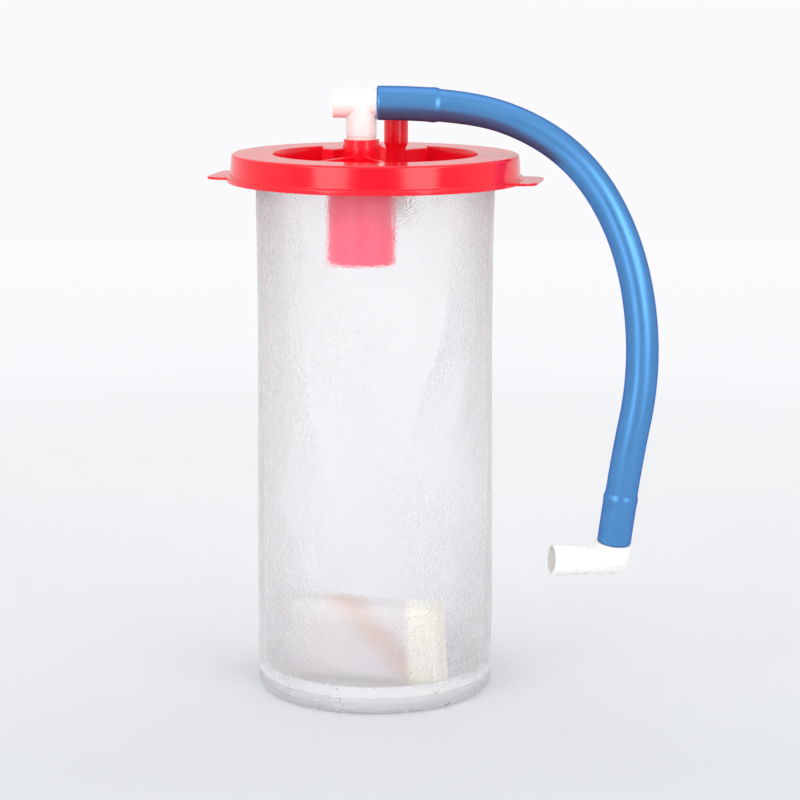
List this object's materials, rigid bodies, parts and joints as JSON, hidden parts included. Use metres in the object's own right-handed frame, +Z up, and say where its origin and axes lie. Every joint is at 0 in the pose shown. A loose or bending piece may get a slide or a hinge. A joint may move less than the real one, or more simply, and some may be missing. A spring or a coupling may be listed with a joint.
{
  "type": "suction canister",
  "caption": "Tall film liner bag with a moulded lid, float shut-off valve, tee and link tube with an elbow, for collecting fluid under suction.",
  "frame": {"origin": "on the bag's axis, at the flat face that the canister rests on", "axes": "+Z up along the bag's axis, +X towards the side that the link tube hangs on, -Y to the front"},
  "size_m": [0.196, 0.1304, 0.2695],
  "materials": {
    "lid_red": "glossy moulded",
    "cage_red": "moulded",
    "film": "grained translucent film",
    "base_clear": "smooth translucent",
    "filter_white": "porous sintered",
    "float_white": "moulded",
    "soft_seal": "soft silicone",
    "connector_white": "satin moulded",
    "tube_blue": "satin translucent",
    "sachet_film": "printed film"
  },
  "bodies": {
    "canister": {"lid": "lid_red", "liner_bag": "film", "base_dish": "base_clear", "port_filter": "filter_white", "valve_cage": "cage_red", "cage_grid": "cage_red", "patient_check_valve": "soft_seal", "gel_sachet": "sachet_film"},
    "float": {"shutoff_float": "float_white", "float_seal": "soft_seal"},
    "tee": {"tee_connector": "connector_white", "suction_tube": "tube_blue"},
    "elbow": {"elbow_connector": "connector_white"}
  },
  "joints": [
    {"name": "float_lift", "type": "slide", "parent": "canister", "child": "float", "axis": [0, 0, 1], "range_m": [0, 0.01]},
    {"name": "tee_swivel", "type": "hinge", "parent": "canister", "child": "tee", "pos_m": [-0.0061, -0.009, 0.24], "axis": [0, 0, 1], "range_deg": [-265, 35]},
    {"name": "elbow_swivel", "type": "hinge", "parent": "tee", "child": "elbow", "pos_m": [0.105, -0.0295, 0.0725], "axis": [0.1065, -0.1065, 0.9886], "continuous": true}
  ]
}
